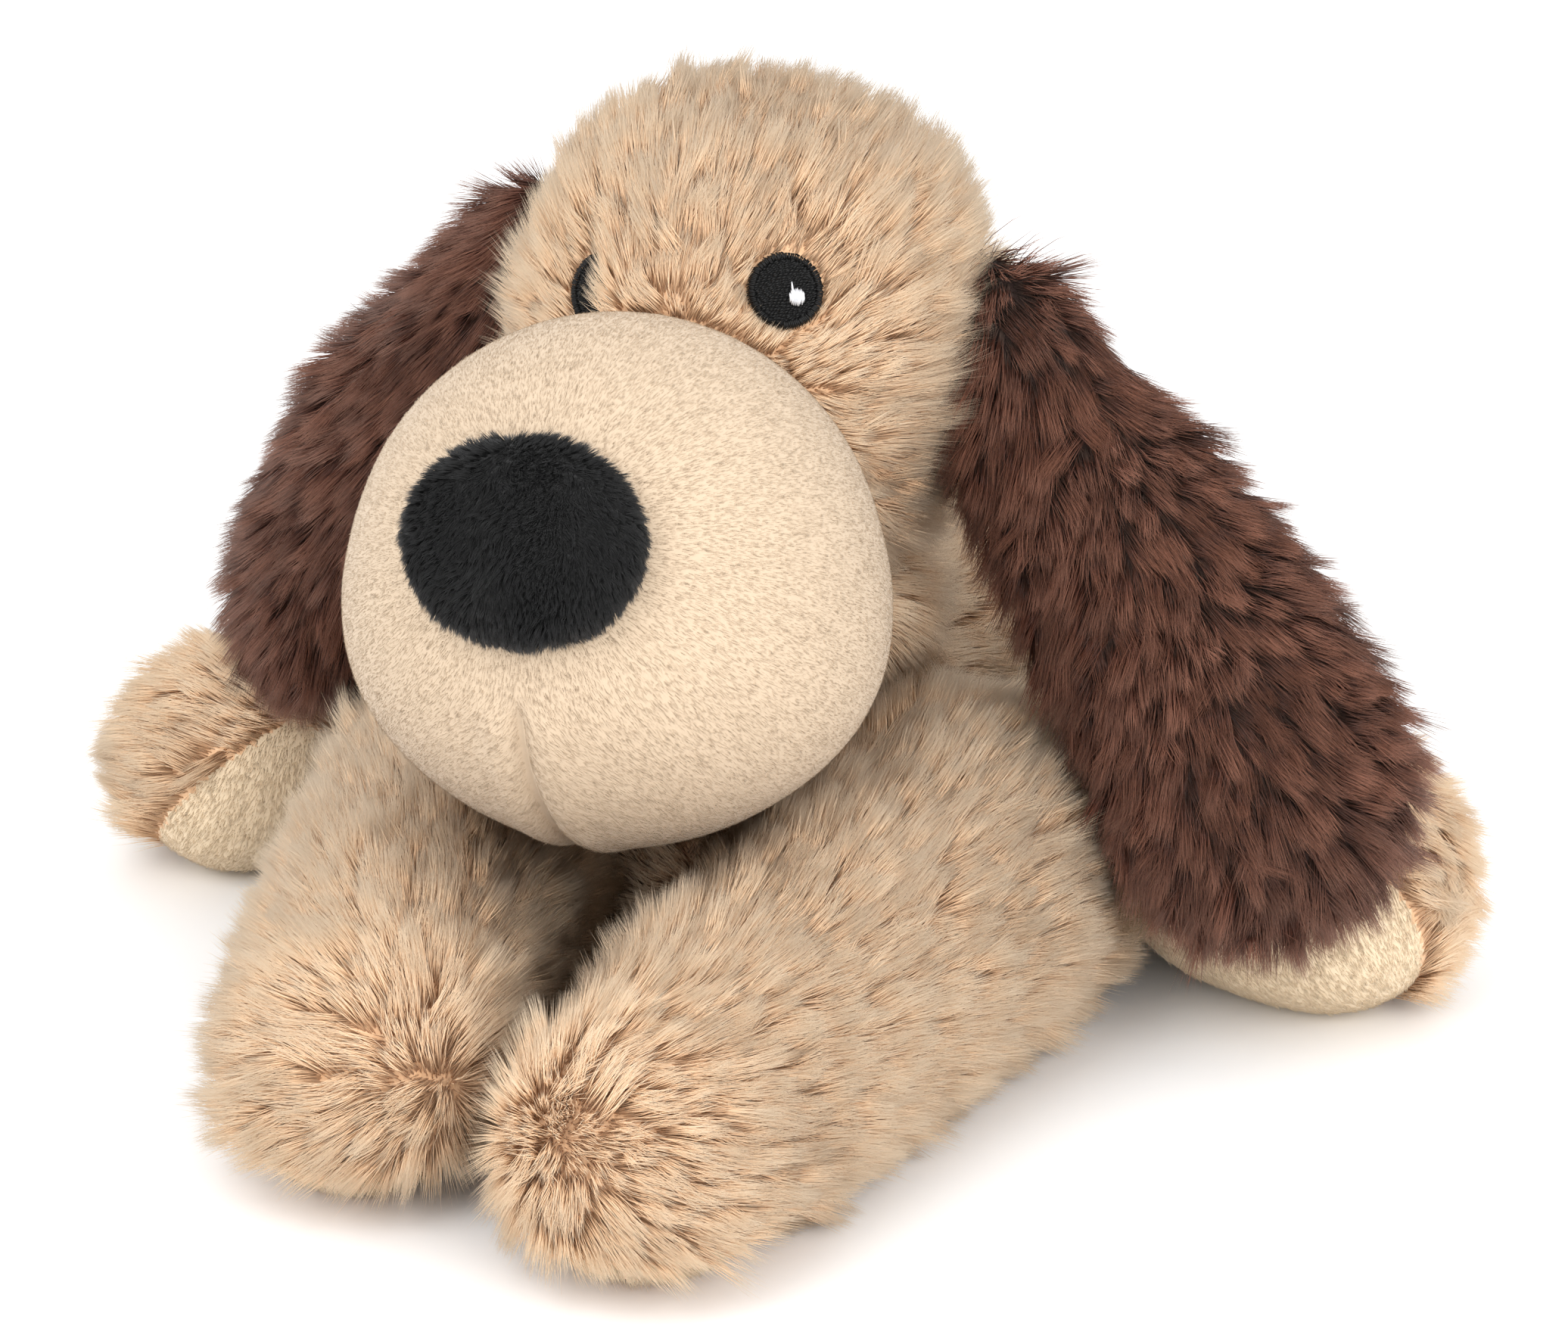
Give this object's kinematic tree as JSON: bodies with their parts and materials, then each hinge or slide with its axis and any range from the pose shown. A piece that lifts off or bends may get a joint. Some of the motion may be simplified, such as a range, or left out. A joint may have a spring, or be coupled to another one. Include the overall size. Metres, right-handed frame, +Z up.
{
  "type": "plush dog",
  "caption": "Floppy plush dog lying on its belly, with a large round muzzle, long hanging ears and sewn limbs that swing.",
  "frame": {"origin": "on the flat belly at floor height, on the midline of the torso under the shoulders", "axes": "+Z up from the floor, -Y the way the dog faces, +X the dog's left"},
  "size_m": [0.325, 0.3475, 0.208],
  "materials": {
    "tan_fur": "long shaggy pile",
    "brown_fur": "long shaggy pile",
    "cream_velour": "short velour nap",
    "black_plush": "short plush pile",
    "black_thread": "satin stitches",
    "white_thread": "satin stitches",
    "polyester_stuffing": "loose fibre",
    "cotton_pouch": "plain weave"
  },
  "bodies": {
    "torso": {"belly_panel": "tan_fur", "body_left_panel": "tan_fur", "body_right_panel": "tan_fur", "body_stuffing": "polyester_stuffing", "weighting_pouch": "cotton_pouch"},
    "head": {"head_left_panel": "tan_fur", "head_right_panel": "tan_fur", "head_stuffing": "polyester_stuffing", "muzzle_left_panel": "cream_velour", "muzzle_right_panel": "cream_velour", "muzzle_stuffing": "polyester_stuffing", "nose_cover": "black_plush", "nose_stuffing": "polyester_stuffing", "eye_left": "black_thread", "eye_right": "black_thread", "eye_glint_left": "white_thread", "eye_glint_right": "white_thread"},
    "ear_left": {"ear_left_front_panel": "brown_fur", "ear_left_back_panel": "brown_fur", "ear_left_filling": "polyester_stuffing"},
    "ear_right": {"ear_right_front_panel": "brown_fur", "ear_right_back_panel": "brown_fur", "ear_right_filling": "polyester_stuffing"},
    "foreleg_left": {"foreleg_left_cover": "tan_fur", "foreleg_left_paw_pad": "cream_velour", "foreleg_left_stuffing": "polyester_stuffing"},
    "foreleg_right": {"foreleg_right_cover": "tan_fur", "foreleg_right_paw_pad": "cream_velour", "foreleg_right_stuffing": "polyester_stuffing"},
    "hind_leg_left": {"hind_leg_left_cover": "tan_fur", "hind_leg_left_sole": "cream_velour", "hind_leg_left_stuffing": "polyester_stuffing"},
    "hind_leg_right": {"hind_leg_right_cover": "tan_fur", "hind_leg_right_sole": "cream_velour", "hind_leg_right_stuffing": "polyester_stuffing"},
    "tail": {"tail_cover": "tan_fur", "tail_stuffing": "polyester_stuffing"}
  },
  "joints": [
    {"name": "head_nod", "type": "hinge", "parent": "torso", "child": "head", "pos_m": [0, -0.016, 0.087], "axis": [-1, 0, 0], "range_deg": [0, 15]},
    {"name": "ear_left_lift", "type": "hinge", "parent": "head", "child": "ear_left", "pos_m": [0.0455, -0.012, 0.176], "axis": [0, -1, 0], "range_deg": [0, 50]},
    {"name": "ear_right_lift", "type": "hinge", "parent": "head", "child": "ear_right", "pos_m": [-0.0435, -0.012, 0.181], "axis": [0, 1, 0], "range_deg": [0, 50]},
    {"name": "foreleg_left_swing", "type": "hinge", "parent": "torso", "child": "foreleg_left", "pos_m": [0.06, -0.034, 0.0358], "axis": [0, 0, 1], "range_deg": [0, 22]},
    {"name": "foreleg_right_swing", "type": "hinge", "parent": "torso", "child": "foreleg_right", "pos_m": [-0.06, -0.034, 0.0328], "axis": [0, 0, -1], "range_deg": [0, 22]},
    {"name": "hind_leg_left_swing", "type": "hinge", "parent": "torso", "child": "hind_leg_left", "pos_m": [0.056, 0.06, 0.0288], "axis": [0, 0, 1], "range_deg": [0, 40]},
    {"name": "hind_leg_right_swing", "type": "hinge", "parent": "torso", "child": "hind_leg_right", "pos_m": [-0.056, 0.06, 0.0288], "axis": [0, 0, -1], "range_deg": [0, 40]},
    {"name": "tail_wag", "type": "hinge", "parent": "torso", "child": "tail", "pos_m": [0, 0.099, 0.062], "axis": [0, 0, 1], "range_deg": [-25, 25]}
  ]
}
